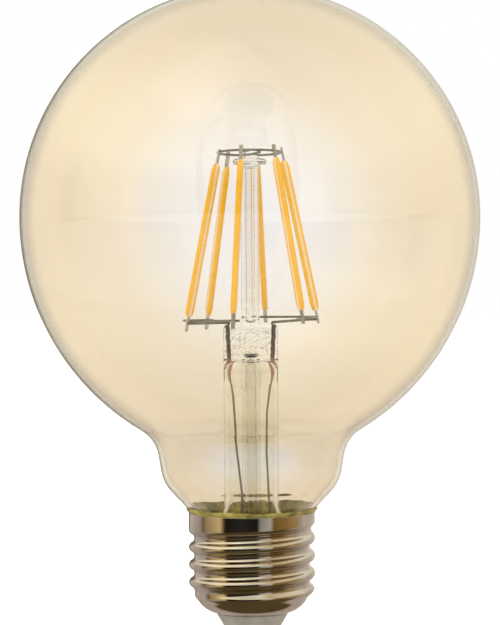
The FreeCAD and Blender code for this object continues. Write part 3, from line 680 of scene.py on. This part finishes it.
def thread_lift(azimuth, height, inset):
    """How far the rolled thread lifts the sheet over its root.

    A crest's arc bulges out and a root's arc hollows in. Both have a radius of a quarter of the squared pitch
    plus the squared depth, over four depths, so that they meet in a tangent half way. The crest climbs by
    the pitch in a turn. The thread runs out into the dome by height, and above its last root into the collar.
    """
    arc_radius = (PITCH**2 / 4 + THREAD_DEPTH**2) / (4 * THREAD_DEPTH)
    turns = (height - FIRST_CREST) / PITCH - azimuth / (2 * pi)
    offset = np.abs(turns - np.floor(turns + 0.5)) * PITCH
    crest_arc, root_arc = arc_radius - inset, arc_radius + inset
    on_crest = THREAD_DEPTH - crest_arc + np.sqrt(np.maximum(crest_arc**2 - offset**2, 0))
    on_root = root_arc - np.sqrt(np.maximum(root_arc**2 - (PITCH / 2 - offset)**2, 0))
    rise = np.where(offset < crest_arc * PITCH / (4 * arc_radius), on_crest, on_root)
    rise = rise * smooth_step(height, THREAD_START, THREAD_START + START_FADE)
    root = (np.floor(turns) + 0.5 + azimuth / (2 * pi)) * PITCH + FIRST_CREST
    return THREAD_DEPTH - (THREAD_DEPTH - rise) * (1 - smooth_step(root, THREAD_END - END_FADE, THREAD_END))


def shell_skin(inset, rows):
    """One side of the sheet from the lip up over the dome and the thread to the rim."""
    dome = arc((LIP_RADIUS, DOME_HEIGHT), DOME_RADIUS - inset, -90, 0, 22)
    wall = np.linspace(DOME_HEIGHT, CAP_HEIGHT, rows)[1:]
    profile = np.concatenate([dome, np.stack([np.full(len(wall), ROOT_RADIUS - inset), wall], axis=-1)])
    radius = profile[:, :1] + thread_lift(turned(CAP_COLUMNS)[None, :], profile[:, 1:], inset)
    return round_axis(radius, profile[:, 1:], CAP_COLUMNS)


def rolled_shell():
    """Both sides of the sheet, joined by a rounded rim and a rounded lip."""
    outer = shell_skin(0, 150)
    inner = shell_skin(SHEET, 100)
    rim = (outer[-1] + inner[-1]) / 2
    lip = (outer[0] + inner[0]) / 2
    return np.concatenate([lip[None], outer, rim[None], inner[::-1], lip[None]])


build("screw_shell_rolled", [rolled_shell()], ["screw_shell"], NICKEL_PLATE)


# World, floor and lamps

def room_walls(tree, share):
    """What stands round the lamp, by angle from behind the camera: dark room, pale softbox, warm walls."""
    stops = [
        (-180, "6A6252"), (-159, "7E7664"), (-150, "D0C8C4"), (-112, "C4BAB4"), (-99, "6E604A"),
        (-92, "A8915E"), (-60, "E8CE96"), (-52, "5A4A30"), (-48, "0C0A07"), (-20, "23252E"), (10, "100E0B"),
        (16, "ACAAA8"), (34, "D4D2CE"), (40, "8C6E3C"), (88, "B49258"), (105, "C8BEB8"), (180, "E6DED2"),
    ]
    return node(tree, "ValToRGB", {0: share}, stops=[(angle / 360 + 0.5, code) for angle, code in stops])


def room_ceiling(tree, share):
    """A pale ceiling, a little lighter to the left and darker to the right."""
    plain, light, dark = "D9D5C4", "FFF5D6", "BCAA88"
    stops = [(0.1, plain), (0.3, light), (0.44, plain), (0.54, plain), (0.6, dark), (0.8, plain)]
    tone = node(tree, "ValToRGB", {0: share}, stops=stops)
    bright = (1.3, 1.3, 1.3, 1)
    return node(tree, "Mix", {SHARE: 1.0, UNDER: tone, OVER: bright}, MIXED, **MULTIPLIED)


def room_table(tree, share, height, y):
    """A grey-beige table: dark in front and close below, lit at its sides and beyond the lamp."""
    stops = [(0.27, "FFFFFF"), (0.31, "000000"), (0.69, "000000"), (0.73, "FFFFFF")]
    sideways = node(tree, "ValToRGB", {0: share}, stops=stops)
    distant = node(tree, "ValToRGB", {0: height}, stops=[(0.12, "000000"), (0.3, "FFFFFF")])
    aside = node(tree, "Math", {0: sideways, 1: distant}, operation="MULTIPLY")
    back = node(tree, "Math", {0: y, 1: 0.5, 2: 0.5}, operation="MULTIPLY_ADD")
    beyond = node(tree, "ValToRGB", {0: back}, stops=[(0.67, "000000"), (0.73, "FFFFFF")])
    lit = node(tree, "Math", {0: aside, 1: beyond}, operation="MAXIMUM")
    return node(tree, "Mix", {SHARE: lit, UNDER: linear("5A4D32"), OVER: linear("B8ACA4")}, MIXED, **BLENDED)


def ceiling_window(tree, x, y, z, high):
    """One soft window: full where X over Z is near -0.45 and Y over Z is near -0.5, and fading round that."""
    panes = []
    for sideways, middle in ((x, -0.45), (y, -0.5)):
        slope = node(tree, "Math", {0: sideways, 1: z}, operation="DIVIDE")
        apart = node(tree, "Math", {0: slope, 1: middle}, operation="SUBTRACT")
        distance = node(tree, "Math", {0: apart}, operation="ABSOLUTE")
        panes.append(node(tree, "ValToRGB", {0: distance}, stops=[(0.14, "FFFFFF"), (0.46, "000000")]))
    pane = node(tree, "Math", {0: panes[0], 1: panes[1]}, operation="MULTIPLY")
    return node(tree, "Math", {0: pane, 1: high}, operation="MULTIPLY")


def studio():
    """A white backdrop for what looks straight at it or through glass, and a plain room for reflections.

    The share of a turn is measured from behind the camera, and the height runs from 0 straight down to 1
    straight up. The table fills what lies below, the ceiling what lies above, and the walls stand between.
    """
    world = bpy.data.worlds.new("studio")
    bpy.context.scene.world = world
    world.use_nodes = True
    tree = world.node_tree
    tree.nodes.clear()
    direction = node(tree, "TexCoord", give="Generated")
    x, y, z = (node(tree, "SeparateXYZ", {0: direction}, axis) for axis in "XYZ")
    forward = node(tree, "Math", {0: y, 1: -1.0}, operation="MULTIPLY")
    turn = node(tree, "Math", {0: x, 1: forward}, operation="ARCTAN2")
    share = node(tree, "Math", {0: turn, 1: 1 / (2 * pi), 2: 0.5}, operation="MULTIPLY_ADD")
    height = node(tree, "Math", {0: z, 1: 0.5, 2: 0.5}, operation="MULTIPLY_ADD")
    low = node(tree, "ValToRGB", {0: height}, stops=[(0.25, "FFFFFF"), (0.47, "000000")])
    high = node(tree, "ValToRGB", {0: height}, stops=[(0.61, "000000"), (0.71, "FFFFFF")])
    layers = [
        (high, room_ceiling(tree, share)),
        (low, room_table(tree, share, height, y)),
        (ceiling_window(tree, x, y, z, high), (1.8, 1.7, 1.5, 1)),
    ]
    room = room_walls(tree, share)
    for covered, cover in layers:
        room = node(tree, "Mix", {SHARE: covered, UNDER: room, OVER: cover}, MIXED, **BLENDED)
    kinds = ("Camera", "Glossy", "Transmission")
    seen, glossy, passed = (node(tree, "LightPath", give=f"Is {kind} Ray") for kind in kinds)
    sharp = node(tree, "Math", {0: glossy, 1: passed}, operation="MAXIMUM")
    light = node(tree, "Mix", {SHARE: sharp, UNDER: linear("F2F2F2"), OVER: room}, MIXED, **BLENDED)
    behind = node(tree, "ValToRGB", {0: y}, stops=[(0.25, "000000"), (0.6, "FFFFFF")])
    through = node(tree, "Math", {0: passed, 1: behind}, operation="MULTIPLY")
    plain = node(tree, "Math", {0: seen, 1: through}, operation="MAXIMUM")
    shown = node(tree, "Mix", {SHARE: plain, UNDER: light, OVER: (1, 1, 1, 1)}, MIXED, **BLENDED)
    node(tree, "OutputWorld", {"Surface": node(tree, "Background", {"Color": shown, "Strength": 1.0})})


def floor_paper():
    """White paper with faint tones, which shines a little where it is seen straight or through glass."""
    made, tree, place = bare_material("floor_paper_white")
    blotches = node(tree, "TexNoise", {"Vector": place, "Scale": 1 / (60.0 * MM), "Detail": 2.0})
    tone = node(tree, "ValToRGB", {0: blotches}, stops=[(0.3, "E9E9E7"), (0.7, "EFEFED")])
    paper = node(tree, "BsdfDiffuse", {"Color": tone})
    seen, passed = (node(tree, "LightPath", give=f"Is {kind} Ray") for kind in ("Camera", "Transmission"))
    direct = node(tree, "Math", {0: seen, 1: 0.45}, operation="MULTIPLY")
    through = node(tree, "Math", {0: passed, 1: 0.24}, operation="MULTIPLY")
    strength = node(tree, "Math", {0: direct, 1: through}, operation="ADD")
    glow = node(tree, "Emission", {"Color": (1, 1, 1, 1), "Strength": strength})
    node(tree, "OutputMaterial", {"Surface": node(tree, "AddShader", {0: paper, 1: glow})})
    return made


def pale_floor():
    """A wide white floor, just below the contact, that keeps the lamp's shadow."""
    level = -0.05
    mesh = grid_mesh("floor", [lathe([(30000.0, level), (300.0, level), (0.0, level)], 64)])
    mesh.materials.append(floor_paper())
    floor = bpy.data.objects.new("floor", mesh)
    bpy.context.scene.collection.objects.link(floor)
    floor.visible_glossy = False


def lamp(name, place, size, power):
    """A soft square lamp that looks at the bulb's middle and isn't seen, its place and size in metres."""
    data = bpy.data.lights.new(name, "AREA")
    data.size = size
    data.energy = power
    made = bpy.data.objects.new(name, data)
    bpy.context.scene.collection.objects.link(made)
    made.location = place
    aim = Vector((0, 0, 0.08)) - Vector(place)
    made.rotation_euler = aim.to_track_quat("-Z", "Y").to_euler()
    made.visible_camera = False
    made.visible_glossy = False
    made.visible_transmission = False


studio()
pale_floor()
lamp("key_softbox", (-0.5, -0.45, 0.55), 0.35, 2.5)
lamp("fill_softbox", (0.55, -0.3, 0.35), 0.4, 1.2)


# Camera: level, 384 mm from the lamp's axis, in line with the press

camera = bpy.data.objects.new("camera", bpy.data.cameras.new("camera"))
bpy.context.scene.collection.objects.link(camera)
camera.data.lens = 106.55
camera.data.sensor_width = 36.0
camera.data.clip_start = 0.01
camera.data.clip_end = 20.0
camera.location = (-0.1 * MM, -384 * MM, 67.4 * MM)
camera.rotation_euler = (radians(90), radians(0.38), 0)
bpy.context.scene.camera = camera
bpy.context.scene.view_settings.view_transform = "Standard"

bpy.context.view_layer.update()
